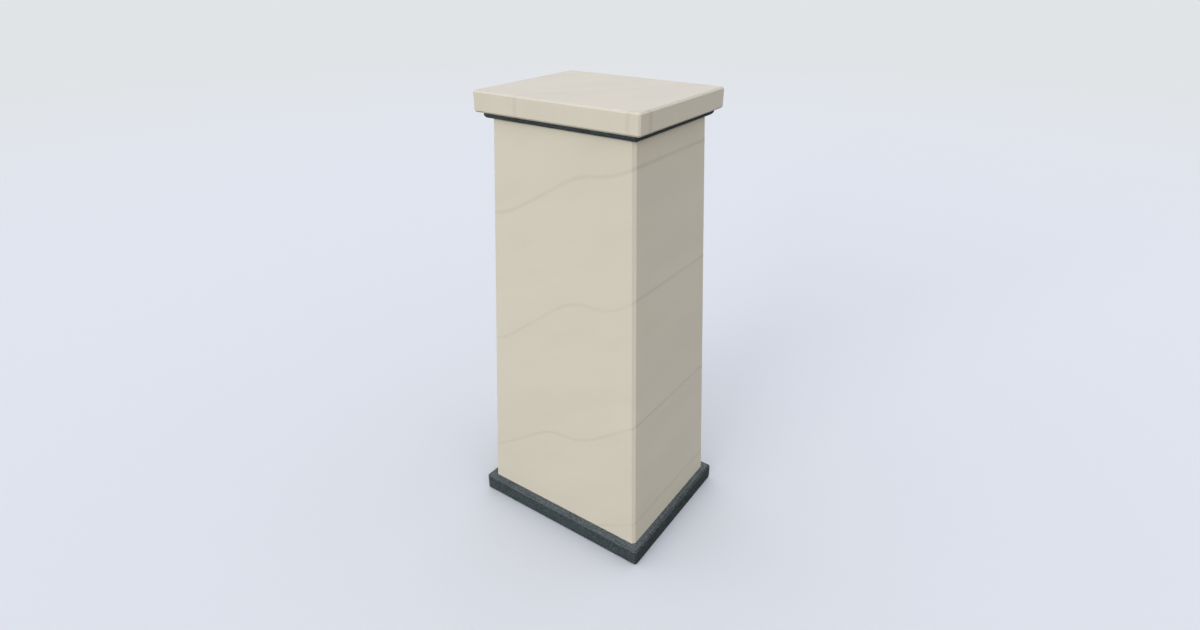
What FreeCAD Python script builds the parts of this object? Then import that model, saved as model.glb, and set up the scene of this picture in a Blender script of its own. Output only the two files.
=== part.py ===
import FreeCAD, Part
import os
from math import cos, radians, sin, tan

# Pedestal column stand: a tapering stone-clad shaft on a slate base plate, under a thin slate
# collar and a stone cap slab. A timber core carries the stone panels, and bolts, screws and
# dowels hold the column to its base, collar and cap. Nothing on it moves.
#
# Millimetres. +Z is up, the origin is on the floor under the middle, +X runs along the wider
# faces and -Y is the front.

# ---------------------------------------------------------------- driving sizes

# Foot pads, let into the underside of the base plate
pad_radius = 20.0
pad_recess = 3.0
pad_proud = 2.0
pad_inset = 45.0
pad_chamfer = 0.8
pad_fit = 0.2

# Base plate
base_overhang = 15.0
base_thickness = 36.5
base_corner_chamfer = 3.5
base_top_chamfer = 4.0
base_bottom_chamfer = 1.0

# Shaft, measured outside the stone panels
shaft_height = 814.0
shaft_foot_width = 380.0
shaft_foot_depth = 300.0
shaft_head_width = 300.0
shaft_head_depth = 240.0
shaft_corner_chamfer = 5.5
panel_thickness = 15.0

# Timber core inside the panels
bond_line = 0.3
glue_line = 0.3
board_thickness = 12.0
batten_size = 30.0
deck_thickness = 18.0
brace_rise = 400.0
brace_hole_radius = 45.0

# Collar
collar_overhang = 11.0
collar_thickness = 10.5
collar_corner_chamfer = 3.0
collar_edge_chamfer = 4.0

# Cap slab
cap_overhang = 22.0
cap_thickness = 37.0
cap_corner_chamfer = 3.0
cap_edge_chamfer = 3.0

# Wood screws that hold the boards to the battens and decks
screw_radius = 2.0
screw_head_radius = 4.0
screw_length = 35.0
screw_head_sink = 0.4
batten_screw_rows = 4
batten_screw_stagger = 25.0
deck_screw_spread = 0.5

# Base bolts, their washers and the flanged insert nuts in the bottom deck
bolt_radius = 4.0
bolt_head_radius = 6.5
bolt_head_height = 8.0
bolt_socket_width = 6.0
bolt_socket_depth = 4.0
bolt_past_nut = 3.0
bolt_from_batten = 28.0
bolt_counterbore_radius = 10.0
bolt_counterbore_depth = 14.0
bolt_hole_play = 0.5
washer_radius = 8.5
washer_thickness = 1.6
nut_flange_radius = 11.0
nut_flange_thickness = 1.5
nut_barrel_wall = 1.5
nut_deck_floor = 4.0

# Collar screws and cap dowels
collar_screw_radius = 2.5
collar_screw_head_radius = 5.0
collar_screw_inset = 32.0
dowel_radius = 5.0
dowel_in_cap = 20.0
dowel_inset = 45.0
dowel_chamfer = 0.8
blind_floor = 3.0

# Fits that many pieces share
hole_fit = 0.15
hole_end_play = 0.5
recess_share = 0.45
point_angle = 30.0
overcut = 5.0

# ---------------------------------------------------------------- levels and insets

base_foot_z = pad_proud
shaft_foot_z = base_foot_z + base_thickness
shaft_head_z = shaft_foot_z + shaft_height
cap_foot_z = shaft_head_z + collar_thickness
bottom_deck_top_z = shaft_foot_z + deck_thickness
top_deck_foot_z = shaft_head_z - deck_thickness
brace_foot_z = shaft_foot_z + brace_rise

# Insets are measured level, from the shaft's outside towards its middle.
board_outer_inset = panel_thickness + bond_line
board_inner_inset = board_outer_inset + board_thickness
core_inset = board_inner_inset + glue_line
batten_inner_inset = core_inset + batten_size

# The four sides and four corners, anticlockwise seen from above, from the front left corner.
SIDES = ["front", "right", "back", "left"]
CORNERS = [(-1, -1), (1, -1), (1, 1), (-1, 1)]
CORNER_NAMES = ["front_left", "front_right", "back_right", "back_left"]


# ---------------------------------------------------------------- helpers


def vector(x, y, z):
    return FreeCAD.Vector(x, y, z)


def shaft_half(z):
    """Half the shaft's outer width and half its outer depth at height z."""
    share = (z - shaft_foot_z) / shaft_height
    width = shaft_foot_width + (shaft_head_width - shaft_foot_width) * share
    depth = shaft_foot_depth + (shaft_head_depth - shaft_foot_depth) * share
    return width / 2, depth / 2


def inset_point(corner, inset_x, inset_y, z):
    """The point inside a shaft corner by the two insets, at height z."""
    half_width, half_depth = shaft_half(z)
    sign_x, sign_y = CORNERS[corner % 4]
    return vector(sign_x * (half_width - inset_x), sign_y * (half_depth - inset_y), z)


def flat_face(points):
    return Part.Face(Part.makePolygon(points + points[:1]))


def prismoid(outline, low_z, high_z):
    """Solid with flat sides between outline(low_z) and outline(high_z)."""
    low = outline(low_z)
    high = outline(high_z)
    faces = [flat_face(low), flat_face(high)]
    for here in range(len(low)):
        after = (here + 1) % len(low)
        faces.append(flat_face([low[here], low[after], high[after], high[here]]))
    solid = Part.makeSolid(Part.makeShell(faces))
    if solid.Volume < 0:
        solid.reverse()
    return solid


def turned(profile):
    """Solid of revolution about Z. The profile lists (radius, height) points."""
    points = [vector(radius, 0, height) for radius, height in profile]
    return flat_face(points).revolve(vector(0, 0, 0), vector(0, 0, 1), 360)


def hexagon(width, spot, z):
    """Corners of a hexagon of that width across its flats, about a point."""
    radius = width / 2 / cos(radians(30))
    turns = [radians(60 * step) for step in range(6)]
    return [vector(spot.x + radius * cos(t), spot.y + radius * sin(t), z) for t in turns]


def cylinder(radius, low_z, high_z, x=0, y=0):
    return Part.makeCylinder(radius, high_z - low_z, vector(x, y, low_z))


def level_edges(shape, z):
    """The straight edges of a shape that lie at height z."""
    close = 1e-6
    return [e for e in shape.Edges if all(abs(v.Z - z) < close for v in e.Vertexes)]


def eased_plate(half_width, half_depth, low_z, thickness, corner, bottom, top):
    """Rectangular plate with chamfered corners and chamfered bottom and top edges."""
    outline = []
    for index, (sign_x, sign_y) in enumerate(CORNERS):
        cuts = [(0, corner), (corner, 0)]
        if index % 2:
            cuts.reverse()
        for cut_x, cut_y in cuts:
            x = sign_x * (half_width - cut_x)
            y = sign_y * (half_depth - cut_y)
            outline.append(vector(x, y, low_z))
    plate = flat_face(outline).extrude(vector(0, 0, thickness))
    plate = plate.makeChamfer(bottom, level_edges(plate, low_z))
    return plate.makeChamfer(top, level_edges(plate, low_z + thickness))


def pointed(shape, position, direction):
    """Copy of a shape made pointing down -Z from the origin, turned to a direction and moved."""
    rotation = FreeCAD.Rotation(vector(0, 0, -1), direction)
    copy = shape.copy()
    copy.Placement = FreeCAD.Placement(position, rotation)
    return copy


def countersunk(length, radius, head_radius, grow=0.0, end_play=0.0, above=0.0):
    """Countersunk screw body pointing down from its head, or its hole where grow is given."""
    wide = head_radius + grow
    shank = radius + grow
    end = -(length + end_play)
    neck = -(wide - shank)
    tip = end + shank / tan(radians(point_angle))
    profile = [(0, above), (wide, above), (wide, 0), (shank, neck), (shank, tip), (0, end)]
    if not above:
        profile.pop(1)
    return turned(profile)


def countersunk_screw(length, radius, head_radius):
    """Countersunk screw with a cross recess in its head."""
    body = countersunk(length, radius, head_radius)
    reach = head_radius * recess_share
    width = reach / 2
    depth = head_radius - radius
    slot = Part.makeBox(2 * reach, width, depth, vector(-reach, -width / 2, -depth))
    crossed = Part.makeBox(width, 2 * reach, depth, vector(-width / 2, -reach, -depth))
    return body.cut([slot, crossed])


def countersunk_hole(length, radius, head_radius):
    return countersunk(length, radius, head_radius, hole_fit, hole_end_play, overcut)


def four_places(inset_x, inset_y, z):
    """One point inside each corner of the shaft's outline at height z."""
    return [inset_point(corner, inset_x, inset_y, z) for corner in range(4)]


# ---------------------------------------------------------------- where the fasteners go


def side_place(side, along_half, along_sign, z):
    """Where a wood screw's head lies in a board: its point and its direction inwards."""
    half_width, half_depth = shaft_half(z)
    deep = board_outer_inset + screw_head_sink
    if side % 2 == 0:
        inward = 1 if side == 0 else -1
        point = vector(along_sign * along_half, -inward * (half_depth - deep), z)
        return point, vector(0, inward, 0)
    inward = -1 if side == 1 else 1
    point = vector(-inward * (half_width - deep), along_sign * along_half, z)
    return point, vector(inward, 0, 0)


def batten_screw_places(side):
    """The screws of one board that go into the two battens behind it."""
    clear_height = top_deck_foot_z - bottom_deck_top_z
    batten_middle = core_inset + batten_size / 2
    places = []
    for row in range(batten_screw_rows):
        z = bottom_deck_top_z + clear_height * (row + 0.5) / batten_screw_rows
        if side % 2:
            z += batten_screw_stagger
        along_half = shaft_half(z)[side % 2] - batten_middle
        for sign in (-1, 1):
            places.append(side_place(side, along_half, sign, z))
    return places


def deck_screw_places(side):
    """The screws of one board that go into the edges of the three decks."""
    places = []
    for deck_foot_z in (shaft_foot_z, brace_foot_z, top_deck_foot_z):
        z = deck_foot_z + deck_thickness / 2
        along_half = (shaft_half(z)[side % 2] - core_inset) * deck_screw_spread
        for sign in (-1, 1):
            places.append(side_place(side, along_half, sign, z))
    return places


def all_places(places_of_side):
    return [place for side in range(4) for place in places_of_side(side)]


def wood_screw_holes(places):
    hole = countersunk_hole(screw_length, screw_radius, screw_head_radius)
    return [pointed(hole, position, direction) for position, direction in places]


def base_bolt_places():
    inset = batten_inner_inset + bolt_from_batten
    return four_places(inset, inset, shaft_foot_z)


def cap_dowel_places():
    inset = core_inset + dowel_inset
    return four_places(inset, inset, shaft_head_z)


def collar_screw_places():
    half_width, half_depth = shaft_half(shaft_head_z)
    reach_x = half_width - core_inset - collar_screw_inset
    reach_y = half_depth - core_inset - collar_screw_inset
    spots = [(0, -reach_y), (reach_x, 0), (0, reach_y), (-reach_x, 0)]
    return [vector(x, y, cap_foot_z) for x, y in spots]


def foot_pad_places():
    half_width, half_depth = base_half()
    spots = []
    for sign_x, sign_y in CORNERS:
        x = sign_x * (half_width - pad_inset)
        y = sign_y * (half_depth - pad_inset)
        spots.append((x, y))
    return spots


# ---------------------------------------------------------------- stone and slate


def base_half():
    half_width, half_depth = shaft_half(shaft_foot_z)
    return half_width + base_overhang, half_depth + base_overhang


def base_plate():
    """Slate plate with pockets for the pads and counterbored holes for the bolts."""
    half_width, half_depth = base_half()
    plate = eased_plate(
        half_width, half_depth, base_foot_z, base_thickness,
        base_corner_chamfer, base_bottom_chamfer, base_top_chamfer)
    cuts = []
    for x, y in foot_pad_places():
        pocket_top = base_foot_z + pad_recess
        cuts.append(cylinder(pad_radius + pad_fit, base_foot_z - overcut, pocket_top, x, y))
    for spot in base_bolt_places():
        seat_z = base_foot_z + bolt_counterbore_depth
        cuts.append(cylinder(bolt_counterbore_radius, base_foot_z - overcut, seat_z, spot.x, spot.y))
        hole_radius = bolt_radius + bolt_hole_play
        cuts.append(cylinder(hole_radius, base_foot_z, shaft_foot_z + overcut, spot.x, spot.y))
    return plate.cut(cuts)


def shaft_panel(side):
    """Stone panel with its outer face, half of each corner chamfer and a mitre at each end."""
    chamfer_x = shaft_corner_chamfer * (side % 2 == 0)
    chamfer_y = shaft_corner_chamfer * (side % 2)
    half_chamfer = shaft_corner_chamfer / 2

    def outline(z):
        start = side
        end = side + 1
        return [
            inset_point(start, half_chamfer, half_chamfer, z),
            inset_point(start, chamfer_x, chamfer_y, z),
            inset_point(end, chamfer_x, chamfer_y, z),
            inset_point(end, half_chamfer, half_chamfer, z),
            inset_point(end, panel_thickness, panel_thickness, z),
            inset_point(start, panel_thickness, panel_thickness, z),
        ]

    return prismoid(outline, shaft_foot_z, shaft_head_z)


def collar_plate():
    """Slate plate under the cap, screwed to the top deck and pierced for the dowels."""
    half_width, half_depth = shaft_half(shaft_head_z)
    plate = eased_plate(
        half_width + collar_overhang, half_depth + collar_overhang, shaft_head_z, collar_thickness,
        collar_corner_chamfer, collar_edge_chamfer, collar_edge_chamfer)
    cuts = collar_screw_holes()
    for spot in cap_dowel_places():
        cuts.append(cylinder(dowel_radius + hole_fit, shaft_head_z - overcut, cap_foot_z + overcut,
                             spot.x, spot.y))
    return plate.cut(cuts)


def cap_slab():
    """Stone slab with blind holes for the dowels underneath."""
    half_width, half_depth = shaft_half(shaft_head_z)
    slab = eased_plate(
        half_width + cap_overhang, half_depth + cap_overhang, cap_foot_z, cap_thickness,
        cap_corner_chamfer, cap_edge_chamfer, cap_edge_chamfer)
    hole_top = cap_foot_z + dowel_in_cap + hole_end_play
    cuts = []
    for spot in cap_dowel_places():
        cuts.append(cylinder(dowel_radius + hole_fit, cap_foot_z - overcut, hole_top, spot.x, spot.y))
    return slab.cut(cuts)


# ---------------------------------------------------------------- timber core


def core_board(side):
    """Plywood board behind a stone panel. Front and back boards cover the side boards' ends."""

    def outline(z):
        end_inset = board_outer_inset if side % 2 == 0 else core_inset
        points = []
        for corner, depth in ((side, board_outer_inset), (side + 1, board_outer_inset),
                              (side + 1, board_inner_inset), (side, board_inner_inset)):
            insets = (end_inset, depth) if side % 2 == 0 else (depth, end_inset)
            points.append(inset_point(corner, insets[0], insets[1], z))
        return points

    board = prismoid(outline, shaft_foot_z, shaft_head_z)
    places = batten_screw_places(side) + deck_screw_places(side)
    return board.cut(wood_screw_holes(places))


def corner_batten(corner):
    """Timber batten that follows the lean of the core's corner, from deck to deck."""

    def outline(z):
        near = core_inset
        far = batten_inner_inset
        insets = [(near, near), (far, near), (far, far), (near, far)]
        return [inset_point(corner, inset_x, inset_y, z) for inset_x, inset_y in insets]

    batten = prismoid(outline, bottom_deck_top_z, top_deck_foot_z)
    return batten.cut(wood_screw_holes(all_places(batten_screw_places)))


def deck_outline(z):
    return [inset_point(corner, core_inset, core_inset, z) for corner in range(4)]


def notched_outline(z):
    """Deck outline with a notch round each batten."""
    edge = core_inset
    notch = batten_inner_inset + glue_line
    points = []
    for corner in range(4):
        steps = [(edge, notch), (notch, notch), (notch, edge)]
        if corner % 2:
            steps.reverse()
        for inset_x, inset_y in steps:
            points.append(inset_point(corner, inset_x, inset_y, z))
    return points


def edge_screw_holes():
    return wood_screw_holes(all_places(deck_screw_places))


def bottom_deck():
    deck = prismoid(deck_outline, shaft_foot_z, bottom_deck_top_z)
    hole_radius = bolt_radius + hole_fit + nut_barrel_wall + hole_fit
    cuts = edge_screw_holes()
    for spot in base_bolt_places():
        cuts.append(cylinder(hole_radius, shaft_foot_z - overcut, bottom_deck_top_z + overcut,
                             spot.x, spot.y))
    return deck.cut(cuts)


def mid_brace():
    brace_head_z = brace_foot_z + deck_thickness
    brace = prismoid(notched_outline, brace_foot_z, brace_head_z)
    opening = cylinder(brace_hole_radius, brace_foot_z - overcut, brace_head_z + overcut)
    return brace.cut(edge_screw_holes() + [opening])


def top_deck():
    deck = prismoid(deck_outline, top_deck_foot_z, shaft_head_z)
    cuts = edge_screw_holes() + collar_screw_holes()
    hole_foot_z = top_deck_foot_z + blind_floor - hole_end_play
    for spot in cap_dowel_places():
        cuts.append(cylinder(dowel_radius + hole_fit, hole_foot_z, shaft_head_z + overcut,
                             spot.x, spot.y))
    return deck.cut(cuts)


# ---------------------------------------------------------------- fasteners and pads


def wood_screws(places_of_side):
    screw = countersunk_screw(screw_length, screw_radius, screw_head_radius)
    places = all_places(places_of_side)
    return Part.makeCompound([pointed(screw, point, direction) for point, direction in places])


def collar_screw_length():
    return collar_thickness + deck_thickness - blind_floor


def collar_screw_holes():
    hole = countersunk_hole(collar_screw_length(), collar_screw_radius, collar_screw_head_radius)
    return [pointed(hole, spot, vector(0, 0, -1)) for spot in collar_screw_places()]


def collar_screws():
    screw = countersunk_screw(collar_screw_length(), collar_screw_radius, collar_screw_head_radius)
    return Part.makeCompound(
        [pointed(screw, spot, vector(0, 0, -1)) for spot in collar_screw_places()])


def washer_foot_z():
    return base_foot_z + bolt_counterbore_depth - washer_thickness


def base_bolt(spot):
    """Socket head bolt that points up from the base plate's counterbore."""
    head_foot_z = washer_foot_z() - bolt_head_height
    shank_top_z = bottom_deck_top_z + nut_flange_thickness + bolt_past_nut
    head = cylinder(bolt_head_radius, head_foot_z, washer_foot_z(), spot.x, spot.y)
    shank = cylinder(bolt_radius, washer_foot_z(), shank_top_z, spot.x, spot.y)
    socket = flat_face(hexagon(bolt_socket_width, spot, head_foot_z))
    socket = socket.extrude(vector(0, 0, bolt_socket_depth))
    return head.fuse(shank).cut(socket).removeSplitter()


def base_bolts():
    return Part.makeCompound([base_bolt(spot) for spot in base_bolt_places()])


def base_washers():
    washers = []
    for spot in base_bolt_places():
        seat_z = washer_foot_z() + washer_thickness
        disc = cylinder(washer_radius, washer_foot_z(), seat_z, spot.x, spot.y)
        hole = cylinder(bolt_radius + hole_fit, washer_foot_z() - overcut, seat_z + overcut,
                        spot.x, spot.y)
        washers.append(disc.cut(hole))
    return Part.makeCompound(washers)


def insert_nuts():
    """Flanged nuts pressed into the bottom deck from above."""
    nuts = []
    for spot in base_bolt_places():
        bore_radius = bolt_radius + hole_fit
        flange_top_z = bottom_deck_top_z + nut_flange_thickness
        barrel_foot_z = shaft_foot_z + nut_deck_floor
        flange = cylinder(nut_flange_radius, bottom_deck_top_z, flange_top_z, spot.x, spot.y)
        barrel = cylinder(bore_radius + nut_barrel_wall, barrel_foot_z, bottom_deck_top_z,
                          spot.x, spot.y)
        bore = cylinder(bore_radius, shaft_foot_z, flange_top_z + overcut, spot.x, spot.y)
        nuts.append(flange.fuse(barrel).cut(bore).removeSplitter())
    return Part.makeCompound(nuts)


def cap_dowels():
    """Steel dowels through the collar, half in the top deck and half in the cap."""
    foot_z = top_deck_foot_z + blind_floor
    head_z = cap_foot_z + dowel_in_cap
    neck = dowel_radius - dowel_chamfer
    profile = [
        (0, foot_z), (neck, foot_z), (dowel_radius, foot_z + dowel_chamfer),
        (dowel_radius, head_z - dowel_chamfer), (neck, head_z), (0, head_z)]
    dowel = turned(profile)
    dowels = []
    for spot in cap_dowel_places():
        copy = dowel.copy()
        copy.translate(vector(spot.x, spot.y, 0))
        dowels.append(copy)
    return Part.makeCompound(dowels)


def foot_pad(corner):
    """Rubber disc in its pocket, standing a little proud of the base plate."""
    x, y = foot_pad_places()[corner]
    head_z = base_foot_z + pad_recess
    neck = pad_radius - pad_chamfer
    profile = [
        (0, 0), (neck, 0), (pad_radius, pad_chamfer), (pad_radius, head_z), (0, head_z)]
    pad = turned(profile)
    pad.translate(vector(x, y, 0))
    return pad


# ---------------------------------------------------------------- the whole pedestal


def pedestal():
    """Every node of the pedestal by name."""
    nodes = {
        "base_plate": base_plate(),
        "bottom_deck": bottom_deck(),
        "mid_brace": mid_brace(),
        "top_deck": top_deck(),
        "collar_plate": collar_plate(),
        "cap_slab": cap_slab(),
        "batten_screws": wood_screws(batten_screw_places),
        "deck_screws": wood_screws(deck_screw_places),
        "base_bolts": base_bolts(),
        "base_washers": base_washers(),
        "insert_nuts": insert_nuts(),
        "collar_screws": collar_screws(),
        "cap_dowels": cap_dowels(),
    }
    for side, name in enumerate(SIDES):
        nodes["shaft_panel_" + name] = shaft_panel(side)
        nodes["core_board_" + name] = core_board(side)
    for corner, name in enumerate(CORNER_NAMES):
        nodes["corner_batten_" + name] = corner_batten(corner)
        nodes["foot_pad_" + name] = foot_pad(corner)
    return nodes


os.makedirs("parts", exist_ok=True)
for node_name, shape in pedestal().items():
    shape.exportStep("parts/" + node_name + ".step")
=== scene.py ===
"""Looks of the pedestal column stand: pale sandstone shaft and cap, dark slate base and collar.

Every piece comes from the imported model, in metres, with its origin on the floor under the middle
of the stand, +Z up and -Y to the front. Lengths in the stand's materials are in millimetres.
"""

from math import cos, pi, radians, sin, tan
from typing import NamedTuple

import bmesh
import bpy
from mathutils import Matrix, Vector

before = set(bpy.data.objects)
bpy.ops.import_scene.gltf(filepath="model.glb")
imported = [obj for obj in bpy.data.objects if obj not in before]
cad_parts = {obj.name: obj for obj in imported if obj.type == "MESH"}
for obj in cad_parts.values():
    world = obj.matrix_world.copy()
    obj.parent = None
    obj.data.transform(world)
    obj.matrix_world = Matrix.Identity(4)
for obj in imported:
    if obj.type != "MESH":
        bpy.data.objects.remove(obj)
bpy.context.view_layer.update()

MM = 0.001
X, Y, Z = 0, 1, 2

# ---------------------------------------------------------------- camera

# The camera looks at a point on the stand's middle line. Around and up are where it stands from
# there, in degrees: round from the front, to the right, and up.
CAMERA_AIM = Vector((0.0, 0.0, 0.449))
CAMERA_DISTANCE = 1.3974
CAMERA_AROUND = 35.0
CAMERA_UP = 28.0
PICTURE_SIZE = (1200, 630)
VIEW_HEIGHT_ANGLE = 50.0
SENSOR_WIDTH = 36.0

# ---------------------------------------------------------------- light

# Around and up are where the light comes from, in degrees, as for the camera.
KEY_AROUND = -5.0
KEY_UP = 14.0
KEY_LEVEL = 0.430
KEY_SPREAD = 35.0
# The dome of light has three bands. Each fades into the next between two angles up, as sines.
SKY_HORIZON = (0.400, 0.400, 0.400)
SKY_MIDDLE = (1.800, 1.782, 1.695)
SKY_ZENITH = (0.560, 0.620, 0.860)
HORIZON_TO_MIDDLE = (0.10, 0.45)
MIDDLE_TO_ZENITH = (0.50, 0.90)
# The camera sees the backdrop and the floor's own colour. Apart from the key lamp, the stand is
# lit by the dome and by what a floor of the bounce colour sends back. The floor's radius is in
# metres, and so are the two distances from the stand between which it fades into the backdrop.
BACKDROP = (0.755, 0.775, 0.800)
FLOOR_COLOUR = (0.640, 0.655, 0.675)
FLOOR_BOUNCE = (0.120, 0.116, 0.104)
FLOOR_RADIUS = 9.0
FLOOR_FADE = (2.5, 7.5)
FLOOR_SEGMENTS = 96

# ---------------------------------------------------------------- textures and shader nodes


class Texture(NamedTuple):
    """Soft noise from 0 to 1, around 0.5, in cells of the given sizes, turned by degrees.

    reach is how far it makes a colour lighter and darker, as a share of it, or how far it shifts
    a line each way. relief is the height that it adds where it is 1.
    """

    cells: tuple
    reach: float = 0.0
    relief: float = 0.0
    detail: float = 2.0
    roughness: float = 0.5
    distortion: float = 0.0
    turn: tuple = (0.0, 0.0, 0.0)

    def upright(self):
        """The texture of a board that stands, from that of one that lies along X."""
        return self._replace(cells=self.cells[::-1])


class Spots(NamedTuple):
    """Rounded spots, one scattered in each cell and stretched as it is. radius is in cells.

    change is how much lighter they are, as a share of the colour, or darker where it is negative.
    relief is their height.
    """

    cells: tuple
    radius: float
    change: float
    relief: float = 0.0


def even(size):
    """Cells of one size all ways."""
    return (size, size, size)


def tinted(colour, shares):
    """colour with its red, green and blue each multiplied by a share."""
    return tuple(part * share for part, share in zip(colour, shares))


# Nearly all of a texture's noise lies between these.
NOISE_SPAN = (0.2, 0.8)
# A spot is full out to this share of its radius, and fades from there to its rim.
SPOT_CORE = 0.4
# Cosines between the rounded and the plain normal: an edge up to the first, a face from the second
EDGE_AGREEMENT = (0.93, 0.995)
BEVEL_SAMPLES = 6
# A Mix node's sockets for colours, by number, because its other kinds of socket share their names
MIX_SHARE, MIX_FIRST, MIX_SECOND, MIX_RESULT = 0, 6, 7, 2


class Nodes:
    """Adds nodes to one shader tree. An input takes a number, three, or another node's socket."""

    def __init__(self, tree):
        self.tree = tree
        tree.nodes.clear()

    def add(self, kind, inputs=None, **settings):
        node = self.tree.nodes.new("ShaderNode" + kind)
        for name, value in settings.items():
            setattr(node, name, value)
        for name, value in (inputs or {}).items():
            socket = node.inputs[name]
            if isinstance(value, bpy.types.NodeSocket):
                self.tree.links.new(value, socket)
            elif socket.type == "RGBA":
                socket.default_value = (*value, 1.0)
            else:
                socket.default_value = value
        return node

    def math(self, operation, *values, clamp=False):
        node = self.add("Math", dict(enumerate(values)), operation=operation, use_clamp=clamp)
        return node.outputs[0]

    def vector(self, operation, *values, **inputs):
        node = self.add("VectorMath", {**dict(enumerate(values)), **inputs}, operation=operation)
        return node.outputs["Value" if operation in ("DOT_PRODUCT", "LENGTH") else "Vector"]

    def parts(self, vector):
        """The vector's X, Y and Z."""
        return self.add("SeparateXYZ", {"Vector": vector}).outputs

    def fade(self, value, span, results=(0.0, 1.0)):
        """The first result up to the span's start, the second from its end, smooth between."""
        inputs = {
            "Value": value,
            "From Min": span[0],
            "From Max": span[1],
            "To Min": results[0],
            "To Max": results[1],
        }
        return self.add("MapRange", inputs, interpolation_type="SMOOTHSTEP").outputs[0]

    def blend(self, share, colour, other):
        """colour where share is 0, other where it is 1."""
        inputs = {MIX_SHARE: share, MIX_FIRST: colour, MIX_SECOND: other}
        return self.add("Mix", inputs, data_type="RGBA").outputs[MIX_RESULT]

    def position(self):
        """The place in the stand's frame, in millimetres."""
        place = self.add("TexCoord").outputs["Object"]
        return self.vector("SCALE", place, Scale=1 / MM)

    def in_cells(self, place, cells, turn=(0.0, 0.0, 0.0)):
        """place measured in cells of the given sizes, turned by degrees."""
        inputs = {
            "Vector": place,
            "Rotation": tuple(radians(angle) for angle in turn),
            "Scale": cells,
        }
        return self.add("Mapping", inputs, vector_type="TEXTURE").outputs[0]

    def noise(self, place, texture):
        """The texture's noise, from 0 to 1."""
        inputs = {
            "Vector": self.in_cells(place, texture.cells, texture.turn),
            "Scale": 1.0,
            "Detail": texture.detail,
            "Roughness": texture.roughness,
            "Distortion": texture.distortion,
        }
        return self.add("TexNoise", inputs).outputs[0]

    def around_zero(self, noise, reach):
        """noise, from 0 to 1, as a number from -reach to reach."""
        return self.math("MULTIPLY_ADD", noise, 2 * reach, -reach)

    def spots(self, place, spots):
        """1 in the middle of each spot, 0 outside them all."""
        inputs = {"Vector": self.in_cells(place, spots.cells), "Scale": 1.0, "Randomness": 1.0}
        distance = self.add("TexVoronoi", inputs).outputs["Distance"]
        return self.fade(distance, (spots.radius * SPOT_CORE, spots.radius), (1.0, 0.0))

    def normal(self):
        """The surface's own normal, neither rounded nor bumped."""
        return self.add("NewGeometry").outputs["Normal"]

    def rounded_normal(self, radius):
        """The normal with edges rounded by radius, in millimetres."""
        return self.add("Bevel", {"Radius": radius * MM}, samples=BEVEL_SAMPLES).outputs[0]

    def edges(self, rounded):
        """1 on the edges that rounded_normal turned, 0 on flat faces."""
        agreement = self.vector("DOT_PRODUCT", rounded, self.normal())
        return self.fade(agreement, EDGE_AGREEMENT, (1.0, 0.0))

    def shaded(self, colour, *changes):
        """colour made lighter or darker by each of the changes, as shares of it."""
        share = 1.0
        for change in changes:
            share = self.math("ADD", share, change)
        return self.vector("SCALE", colour, Scale=share)

    def relief(self, *layers):
        """The layers' heights added up. Each is a value from 0 to 1 and its height where it is 1."""
        total = 0.0
        for value, height in layers:
            total = self.math("MULTIPLY_ADD", value, height, total)
        return total

    def bump(self, height, normal):
        """The normal over a height in millimetres."""
        inputs = {"Height": height, "Distance": MM, "Strength": 1.0, "Normal": normal}
        return self.add("Bump", inputs).outputs[0]

    def finish(self, **inputs):
        """The surface: one Principled shader, its inputs given by name with _ for a space."""
        named = {name.replace("_", " "): value for name, value in inputs.items()}
        shader = self.add("BsdfPrincipled", named)
        self.add("OutputMaterial", {"Surface": shader.outputs[0]})


def material(name):
    made = bpy.data.materials.new(name)
    made.use_nodes = True
    return made, Nodes(made.node_tree)


# ---------------------------------------------------------------- sandstone


class Vein(NamedTuple):
    """A thin darker bed. It rises by slope, and rolls in a wave and a ripple of half its length.

    height is its place on the rise axis where the run axis is at 0, but for wave and ripple, which
    are how far they lift and lower it. A crest is where on the run axis one of them is highest.
    """

    height: float
    slope: float
    length: float
    wave: float
    crest: float
    depth: float
    ripple: float = 0.0
    ripple_crest: float = 0.0

    def swings(self):
        """The length, reach and crest of the wave and of the ripple."""
        wave = (self.length, self.wave, self.crest)
        ripple = (self.length / 2, self.ripple, self.ripple_crest)
        return wave, ripple


SHAFT_BED_SLOPE = 0.5
SHAFT_VEINS = (
    Vein(height=748.5, slope=0.444, length=249, wave=8.8, crest=21, ripple=1.4, ripple_crest=42, depth=1.0),
    Vein(height=506, slope=0.519, length=275, wave=16.5, crest=2, ripple=2.8, ripple_crest=36, depth=0.85),
    Vein(height=227, slope=0.472, length=234, wave=12.0, crest=-48, ripple=1.4, ripple_crest=-18, depth=1.0),
    Vein(height=-14, slope=0.56, length=250, wave=2.0, crest=30, depth=0.75),
)
CAP_BED_SLOPE = 0.735
CAP_VEINS = tuple(
    Vein(height=height, slope=CAP_BED_SLOPE, length=190, wave=3.0, crest=crest, ripple=1.0, depth=0.95)
    for height, crest in ((252.5, 40), (32.5, -30), (-195, 10))
)
VEIN_HALF_WIDTH = 5.5
VEIN_CHANGE = -0.092
VEIN_RELIEF = -0.06
VEIN_WANDER = Texture(cells=even(14.0), reach=0.9)
# Patches make a vein fainter or deeper: noise over the span gives these shares of its depth.
VEIN_PATCHES = Texture(cells=even(55.0))
VEIN_PATCH_SPAN = (0.25, 0.7)
VEIN_PATCH_DEPTH = (0.65, 1.1)
# Veins are deeper on the sides, whose normals lie along X.
SIDE_FACING = (0.40, 0.80)
SIDE_VEIN_DEPTH = 1.65

SANDSTONE = (0.580, 0.541, 0.453)
SANDSTONE_WARMTH = (1.008, 0.998, 0.985)
SANDSTONE_ROUGHNESS = (0.56, 0.68)
SANDSTONE_EDGE_WEAR = 0.012
STONE_EDGE_RADIUS = 0.6
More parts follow.
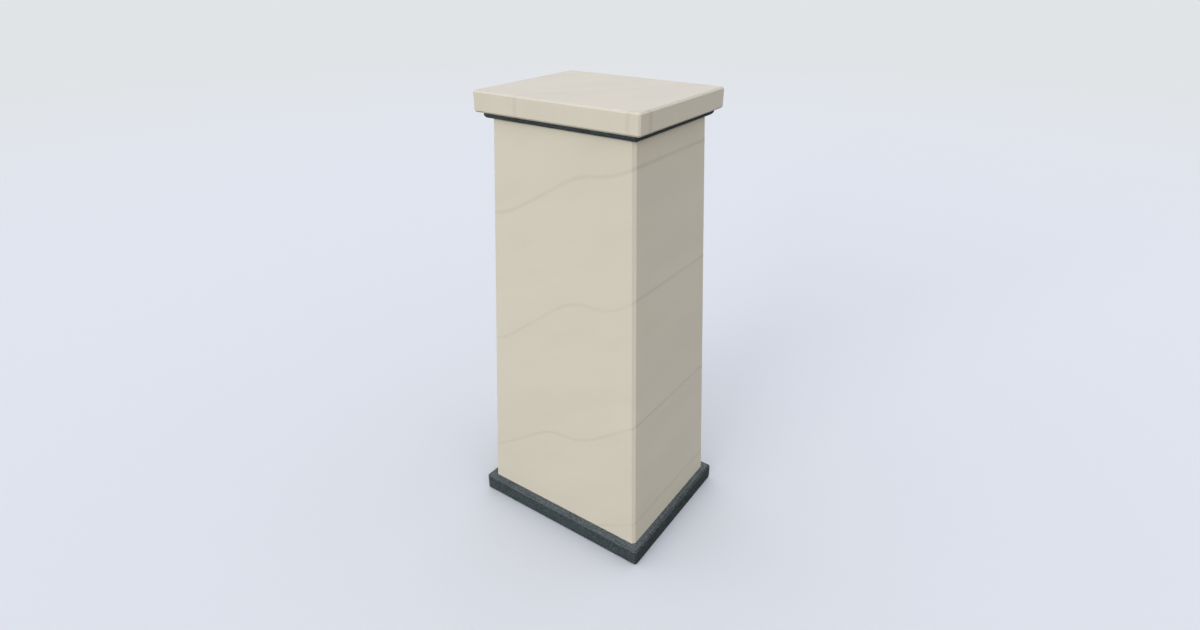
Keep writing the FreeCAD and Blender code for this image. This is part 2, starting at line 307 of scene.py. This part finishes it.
# The first two have their cells across the beds, along them and through the block.
CLOUDS = Texture(cells=(70.0, 190.0, 230.0), reach=0.050, roughness=0.45, distortion=0.3)
LAMINAE = Texture(cells=(9.0, 160.0, 160.0), reach=0.014, relief=0.03, detail=3.0, distortion=0.2)
WARMTH = Texture(cells=(120.0, 150.0, 90.0), detail=1.0)
SAND = Texture(cells=even(1.6), reach=0.030, relief=0.030, roughness=0.7)
SPECKS = Spots(cells=even(11.0), radius=0.10, change=-0.035)
PITS = Spots(cells=even(17.0), radius=0.045, change=-0.12, relief=-0.25)


def vein_lines(nodes, place, rise, run, veins):
    """How deep the veins are at a place: 0 away from them, and 1 for one at its plain depth.

    rise and run are the place's parts on the two axes that the veins are measured on.
    """
    wander = nodes.around_zero(nodes.noise(place, VEIN_WANDER), VEIN_WANDER.reach)
    total = 0.0
    for vein in veins:
        level = nodes.math("MULTIPLY_ADD", run, vein.slope, vein.height)
        for length, swing, crest in vein.swings():
            turns = nodes.math("MULTIPLY_ADD", run, 2 * pi / length, -2 * pi * crest / length)
            level = nodes.math("MULTIPLY_ADD", nodes.math("COSINE", turns), swing, level)
        offset = nodes.math("SUBTRACT", rise, nodes.math("ADD", level, wander))
        distance = nodes.math("DIVIDE", nodes.math("ABSOLUTE", offset), VEIN_HALF_WIDTH)
        line = nodes.math("SUBTRACT", 1.0, distance, clamp=True)
        total = nodes.math("MULTIPLY_ADD", line, vein.depth, total)
    patches = nodes.fade(nodes.noise(place, VEIN_PATCHES), VEIN_PATCH_SPAN, VEIN_PATCH_DEPTH)
    sideways = nodes.math("ABSOLUTE", nodes.parts(nodes.normal())[X])
    side = nodes.fade(sideways, SIDE_FACING, (1.0, SIDE_VEIN_DEPTH))
    return nodes.math("MULTIPLY", total, nodes.math("MULTIPLY", patches, side))


def sandstone(name, rise_axis, run_axis, slope, veins):
    """Honed pale sandstone, its beds stacked along rise_axis and rising by slope along run_axis."""
    made, nodes = material(name)
    place = nodes.position()
    parts = nodes.parts(place)
    rise, run = parts[rise_axis], parts[run_axis]
    across = nodes.math("SUBTRACT", rise, nodes.math("MULTIPLY", run, slope))
    along = nodes.math("MULTIPLY_ADD", rise, slope, run)
    through = parts[X + Y + Z - rise_axis - run_axis]
    beds = nodes.add("CombineXYZ", {X: across, Y: along, Z: through}).outputs[0]

    clouds = nodes.noise(beds, CLOUDS)
    laminae = nodes.noise(beds, LAMINAE)
    sand = nodes.noise(place, SAND)
    specks = nodes.spots(place, SPECKS)
    pits = nodes.spots(place, PITS)
    lines = vein_lines(nodes, place, rise, run, veins)
    rounded = nodes.rounded_normal(STONE_EDGE_RADIUS)
    warm = tinted(SANDSTONE, SANDSTONE_WARMTH)
    colour = nodes.shaded(
        nodes.blend(nodes.noise(place, WARMTH), SANDSTONE, warm),
        nodes.around_zero(clouds, CLOUDS.reach),
        nodes.around_zero(laminae, LAMINAE.reach),
        nodes.around_zero(sand, SAND.reach),
        nodes.math("MULTIPLY", lines, VEIN_CHANGE),
        nodes.math("MULTIPLY", specks, SPECKS.change),
        nodes.math("MULTIPLY", pits, PITS.change),
        nodes.math("MULTIPLY", nodes.edges(rounded), SANDSTONE_EDGE_WEAR),
    )
    height = nodes.relief(
        (pits, PITS.relief),
        (sand, SAND.relief),
        (lines, VEIN_RELIEF),
        (laminae, LAMINAE.relief),
    )
    nodes.finish(
        Base_Color=colour,
        Roughness=nodes.fade(sand, NOISE_SPAN, SANDSTONE_ROUGHNESS),
        Normal=nodes.bump(height, rounded),
    )
    return made


# ---------------------------------------------------------------- slate

SLATE_GREEN = (0.0490, 0.0620, 0.0635)
SLATE_BLUE = (0.0465, 0.0590, 0.0680)
# Painted light: the paler colour given to faces that look up.
SLATE_PAINTED_LIGHT_TOP = (0.1000, 0.1150, 0.1180)
SLATE_ROUGHNESS = (0.50, 0.66)
SLATE_SPECULAR = 0.03
SLATE_EDGE_WEAR = 0.10
MOTTLE = Texture(cells=(38.0, 30.0, 14.0), reach=0.24, detail=4.0, roughness=0.55, turn=(0, 0, 20))
LAYERS = Texture(cells=(70.0, 70.0, 1.7), reach=0.12, relief=0.05, detail=3.0, roughness=0.55)
PATCHES = Texture(cells=(4.5, 4.0, 3.0), reach=1.15, roughness=0.6)
HUE = Texture(cells=(11.0, 9.0, 6.0), roughness=0.6)
HUE_SPAN = (0.35, 0.65)
SLATE_GRAIN = Texture(cells=(1.3, 1.3, 0.9), reach=0.50, relief=0.05, detail=3.0, roughness=0.65)
SLATE_GRAIN_SPAN = (0.25, 0.75)
FLECKS = Spots(cells=(5.0, 5.0, 2.5), radius=0.13, change=0.35)
# Painted light and shade: faces that look up are painted paler, as if lit from above, and those that look
# along X are painted darker, as if in shade.
PAINTED_LIGHT_TOP_FACING = (0.50, 0.90)
PAINTED_SHADE_SIDE_FACING = (0.30, 0.85)
# Painted shade: how much darker the faces that look along X are painted.
PAINTED_SHADE_SIDE_CHANGE = -0.27


def slate():
    """Sawn slate: dark, faintly layered, blotched, with fine pale flecks, with painted light on its top and
    painted shade on its faces along X.
    """
    made, nodes = material("slate")
    place = nodes.position()
    mottle = nodes.noise(place, MOTTLE)
    layers = nodes.noise(place, LAYERS)
    patches = nodes.noise(place, PATCHES)
    grain = nodes.noise(place, SLATE_GRAIN)
    flecks = nodes.spots(place, FLECKS)
    rounded = nodes.rounded_normal(STONE_EDGE_RADIUS)
    facing = nodes.parts(nodes.normal())
    # Painted shade on the faces that look along X.
    painted_side_shade = nodes.fade(nodes.math("ABSOLUTE", facing[X]), PAINTED_SHADE_SIDE_FACING)
    hue = nodes.fade(nodes.noise(place, HUE), HUE_SPAN)
    sawn = nodes.blend(hue, SLATE_GREEN, SLATE_BLUE)
    colour = nodes.shaded(
        # Painted light: faces that look up get the paler top colour.
        nodes.blend(nodes.fade(facing[Z], PAINTED_LIGHT_TOP_FACING), sawn, SLATE_PAINTED_LIGHT_TOP),
        nodes.around_zero(mottle, MOTTLE.reach),
        nodes.around_zero(layers, LAYERS.reach),
        nodes.around_zero(patches, PATCHES.reach),
        nodes.around_zero(grain, SLATE_GRAIN.reach),
        nodes.math("MULTIPLY", flecks, FLECKS.change),
        nodes.math("MULTIPLY", nodes.edges(rounded), SLATE_EDGE_WEAR),
        # Painted shade: faces that look along X are made darker.
        nodes.math("MULTIPLY", painted_side_shade, PAINTED_SHADE_SIDE_CHANGE),
    )
    height = nodes.relief((layers, LAYERS.relief), (grain, SLATE_GRAIN.relief))
    nodes.finish(
        Base_Color=colour,
        Roughness=nodes.fade(grain, SLATE_GRAIN_SPAN, SLATE_ROUGHNESS),
        Specular_IOR_Level=SLATE_SPECULAR,
        Normal=nodes.bump(height, rounded),
    )
    return made


# ---------------------------------------------------------------- core: plywood and timber

BIRCH_DARK = (0.60, 0.43, 0.25)
BIRCH_PALE = (0.72, 0.55, 0.35)
BIRCH_END_GRAIN = (0.36, 0.22, 0.11)
BIRCH_ROUGHNESS = (0.58, 0.74)
BIRCH_EDGE_RADIUS = 0.3
BIRCH_GRAIN = Texture(cells=(130.0, 3.2, 3.2), detail=3.0, distortion=0.8)
BIRCH_GRAIN_SPAN = (0.3, 0.7)
BIRCH_FIBRES = Texture(cells=(40.0, 0.8, 0.8), reach=0.12, relief=0.08)
# How far a surface faces out of the sheet: a sawn edge up to the first, a face from the second
SAWN_EDGE_FACING = (0.3, 0.7)
END_GRAIN_RELIEF = -0.05
DECK_PLY = 1.4
BOARD_PLY = 1.35
# Light and dark plies change over while the sine that stacks them is between these.
PLY_CHANGE = (-0.15, 0.15)

EARLY_WOOD = (0.68, 0.50, 0.29)
LATE_WOOD = (0.50, 0.29, 0.13)
LATE_WOOD_SPAN = (0.1, 0.95)
LATE_WOOD_RELIEF = 0.05
TIMBER_ROUGHNESS = (0.50, 0.68)
TIMBER_EDGE_RADIUS = 0.5
TIMBER_FIBRES = Texture(cells=(0.7, 0.7, 45.0), reach=0.14, relief=0.07)
RING_SPACING = 5.5
RING_SLANT = 0.45
RING_WARP = Texture(cells=(30.0, 30.0, 220.0), reach=9.0)


def largest_face_normal(piece):
    return max(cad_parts[piece].data.polygons, key=lambda face: face.area).normal


def plywood(piece, ply_thickness):
    """Birch plywood: long grain on the faces, light and dark plies on the sawn edges."""
    made, nodes = material("plywood_" + piece)
    place = nodes.position()
    through = largest_face_normal(piece)
    stands = abs(through.z) < through.xy.length
    grain = nodes.noise(place, BIRCH_GRAIN.upright() if stands else BIRCH_GRAIN)
    fibres = nodes.noise(place, BIRCH_FIBRES.upright() if stands else BIRCH_FIBRES)
    depth = nodes.vector("DOT_PRODUCT", place, tuple(through))
    plies = nodes.math("SINE", nodes.math("MULTIPLY", depth, pi / ply_thickness))
    facing = nodes.vector("DOT_PRODUCT", nodes.normal(), tuple(through))
    sawn = nodes.fade(nodes.math("ABSOLUTE", facing), SAWN_EDGE_FACING, (1.0, 0.0))
    end_grain = nodes.math("MULTIPLY", nodes.fade(plies, PLY_CHANGE), sawn)
    face_colour = nodes.blend(nodes.fade(grain, BIRCH_GRAIN_SPAN), BIRCH_DARK, BIRCH_PALE)
    colour = nodes.shaded(
        nodes.blend(end_grain, face_colour, BIRCH_END_GRAIN),
        nodes.around_zero(fibres, BIRCH_FIBRES.reach),
    )
    height = nodes.relief((end_grain, END_GRAIN_RELIEF), (fibres, BIRCH_FIBRES.relief))
    nodes.finish(
        Base_Color=colour,
        Roughness=nodes.fade(fibres, NOISE_SPAN, BIRCH_ROUGHNESS),
        Normal=nodes.bump(height, nodes.rounded_normal(BIRCH_EDGE_RADIUS)),
    )
    return made


def timber():
    """Planed softwood with its grain upright and growth rings across it."""
    made, nodes = material("timber")
    place = nodes.position()
    parts = nodes.parts(place)
    warp = nodes.around_zero(nodes.noise(place, RING_WARP), RING_WARP.reach)
    across = nodes.math("ADD", nodes.math("MULTIPLY_ADD", parts[Y], RING_SLANT, parts[X]), warp)
    rings = nodes.math("SINE", nodes.math("MULTIPLY", across, 2 * pi / RING_SPACING))
    late_wood = nodes.fade(rings, LATE_WOOD_SPAN)
    fibres = nodes.noise(place, TIMBER_FIBRES)
    colour = nodes.shaded(
        nodes.blend(late_wood, EARLY_WOOD, LATE_WOOD),
        nodes.around_zero(fibres, TIMBER_FIBRES.reach),
    )
    height = nodes.relief((late_wood, LATE_WOOD_RELIEF), (fibres, TIMBER_FIBRES.relief))
    nodes.finish(
        Base_Color=colour,
        Roughness=nodes.fade(fibres, NOISE_SPAN, TIMBER_ROUGHNESS),
        Normal=nodes.bump(height, nodes.rounded_normal(TIMBER_EDGE_RADIUS)),
    )
    return made


# ---------------------------------------------------------------- fasteners and pads

STEEL_WARMTH = (1.03, 1.01, 0.94)
STEEL_EDGE_RADIUS = 0.15
ZINC = (0.62, 0.60, 0.52)
ZINC_ROUGHNESS = (0.32, 0.48)
ZINC_MARKS = Texture(cells=(0.5, 0.5, 4.0), reach=0.10, relief=0.02, detail=3.0)
ZINC_CLOUDS = Texture(cells=even(6.0), reach=0.08)
STAINLESS = (0.56, 0.57, 0.58)
STAINLESS_ROUGHNESS = (0.24, 0.40)
STAINLESS_MARKS = Texture(cells=(3.0, 3.0, 0.35), reach=0.10, relief=0.02, detail=3.0)
STAINLESS_CLOUDS = Texture(cells=even(6.0), reach=0.04)

RUBBER = (0.018, 0.018, 0.019)
RUBBER_DUSTY = (0.045, 0.043, 0.040)
RUBBER_ROUGHNESS = (0.66, 0.84)
RUBBER_EDGE_RADIUS = 0.4
RUBBER_GRAIN = Texture(cells=even(0.5), reach=0.15, relief=0.05)
DUST = Texture(cells=even(7.0), detail=4.0, roughness=0.6)
DUST_SPAN = (0.5, 0.75)


def steel(name, colour, roughness, marks, clouds):
    """Steel with fine turning marks and a faint clouding."""
    made, nodes = material(name)
    place = nodes.position()
    marked = nodes.noise(place, marks)
    clouded = nodes.noise(place, clouds)
    tone = nodes.shaded(
        nodes.blend(clouded, colour, tinted(colour, STEEL_WARMTH)),
        nodes.around_zero(marked, marks.reach),
        nodes.around_zero(clouded, clouds.reach),
    )
    rounded = nodes.rounded_normal(STEEL_EDGE_RADIUS)
    nodes.finish(
        Base_Color=tone,
        Metallic=1.0,
        Roughness=nodes.fade(marked, NOISE_SPAN, roughness),
        Normal=nodes.bump(nodes.relief((marked, marks.relief)), rounded),
    )
    return made


def rubber():
    """Moulded black rubber with a fine matt grain and a little dust."""
    made, nodes = material("pad_rubber")
    place = nodes.position()
    grain = nodes.noise(place, RUBBER_GRAIN)
    dust = nodes.fade(nodes.noise(place, DUST), DUST_SPAN)
    colour = nodes.shaded(
        nodes.blend(dust, RUBBER, RUBBER_DUSTY),
        nodes.around_zero(grain, RUBBER_GRAIN.reach),
    )
    rounded = nodes.rounded_normal(RUBBER_EDGE_RADIUS)
    nodes.finish(
        Base_Color=colour,
        Roughness=nodes.fade(grain, NOISE_SPAN, RUBBER_ROUGHNESS),
        Normal=nodes.bump(nodes.relief((grain, RUBBER_GRAIN.relief)), rounded),
    )
    return made


# ---------------------------------------------------------------- dressing the pieces

SIDES = ("front", "right", "back", "left")
CORNERS = ("front_left", "front_right", "back_right", "back_left")


def dress(finish, *pieces):
    """Gives the pieces one finish all over."""
    for piece in pieces:
        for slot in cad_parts[piece].material_slots:
            slot.material = finish


dress(
    sandstone("shaft_stone", rise_axis=Z, run_axis=X, slope=SHAFT_BED_SLOPE, veins=SHAFT_VEINS),
    *("shaft_panel_" + side for side in SIDES),
)
dress(
    sandstone("cap_stone", rise_axis=X, run_axis=Y, slope=CAP_BED_SLOPE, veins=CAP_VEINS),
    "cap_slab",
)
dress(slate(), "base_plate", "collar_plate")
for deck in ("bottom_deck", "mid_brace", "top_deck"):
    dress(plywood(deck, DECK_PLY), deck)
for side in SIDES:
    dress(plywood("core_board_" + side, BOARD_PLY), "core_board_" + side)
dress(timber(), *("corner_batten_" + corner for corner in CORNERS))
dress(
    steel("plated_steel", ZINC, ZINC_ROUGHNESS, ZINC_MARKS, ZINC_CLOUDS),
    "batten_screws",
    "deck_screws",
    "base_bolts",
    "base_washers",
    "insert_nuts",
    "collar_screws",
)
dress(
    steel("bright_steel", STAINLESS, STAINLESS_ROUGHNESS, STAINLESS_MARKS, STAINLESS_CLOUDS),
    "cap_dowels",
)
dress(rubber(), *("foot_pad_" + corner for corner in CORNERS))


# ---------------------------------------------------------------- camera, light and floor


def add_object(name, data):
    made = bpy.data.objects.new(name, data)
    bpy.context.scene.collection.objects.link(made)
    return made


def towards(around, up):
    """The direction of what lies that many degrees round from the front, to the right, and up."""
    level = cos(radians(up))
    return Vector((sin(radians(around)) * level, -cos(radians(around)) * level, sin(radians(up))))


def turned_from(direction):
    """The turn of a camera or lamp that faces against direction, upright."""
    return direction.to_track_quat("Z", "Y").to_euler()


def camera():
    width, height = PICTURE_SIZE
    distance_pixels = height / 2 / tan(radians(VIEW_HEIGHT_ANGLE / 2))
    data = bpy.data.cameras.new("camera")
    data.sensor_width = SENSOR_WIDTH
    data.lens = SENSOR_WIDTH * distance_pixels / width
    made = add_object("camera", data)
    from_aim = towards(CAMERA_AROUND, CAMERA_UP)
    made.location = CAMERA_AIM + from_aim * CAMERA_DISTANCE
    made.rotation_euler = turned_from(from_aim)
    bpy.context.scene.camera = made


def key_lamp():
    """A soft distant lamp. Its level is the light it gives a surface square to it, 1 being full."""
    data = bpy.data.lights.new("key", "SUN")
    data.energy = KEY_LEVEL * pi
    data.angle = radians(KEY_SPREAD)
    add_object("key", data).rotation_euler = turned_from(towards(KEY_AROUND, KEY_UP))


def seen_directly(nodes):
    """1 for what the camera sees, straight or in gloss or glass, 0 for the light on the stand."""
    path = nodes.add("LightPath").outputs
    seen = nodes.math("MAXIMUM", path["Is Camera Ray"], path["Is Glossy Ray"])
    return nodes.math("MAXIMUM", seen, path["Is Transmission Ray"])


def sky():
    world = bpy.data.worlds.new("sky")
    world.use_nodes = True
    nodes = Nodes(world.node_tree)
    up = nodes.parts(nodes.add("TexCoord").outputs["Generated"])[Z]
    overhead = nodes.blend(nodes.fade(up, MIDDLE_TO_ZENITH), SKY_MIDDLE, SKY_ZENITH)
    light = nodes.blend(nodes.fade(up, HORIZON_TO_MIDDLE), SKY_HORIZON, overhead)
    colour = nodes.blend(seen_directly(nodes), light, BACKDROP)
    background = nodes.add("Background", {"Color": colour, "Strength": 1.0})
    nodes.add("OutputWorld", {"Surface": background.outputs[0]})
    bpy.context.scene.world = world


def floor():
    """A pale round floor that fades into the backdrop far from the stand."""
    shape = bmesh.new()
    bmesh.ops.create_circle(shape, cap_ends=True, radius=FLOOR_RADIUS, segments=FLOOR_SEGMENTS)
    mesh = bpy.data.meshes.new("floor")
    shape.to_mesh(mesh)
    shape.free()
    made, nodes = material("floor")
    seen = seen_directly(nodes)
    near = nodes.add("BsdfDiffuse", {"Color": nodes.blend(seen, FLOOR_BOUNCE, FLOOR_COLOUR)})
    far = nodes.add("Emission", {"Color": BACKDROP, "Strength": 1.0})
    distance = nodes.vector("LENGTH", nodes.add("TexCoord").outputs["Object"])
    share = nodes.math("MULTIPLY", nodes.fade(distance, FLOOR_FADE), seen)
    mixed = dict(enumerate((share, near.outputs[0], far.outputs[0])))
    nodes.add("OutputMaterial", {"Surface": nodes.add("MixShader", mixed).outputs[0]})
    mesh.materials.append(made)
    add_object("floor", mesh)


camera()
key_lamp()
sky()
floor()
bpy.context.scene.view_settings.view_transform = "Standard"
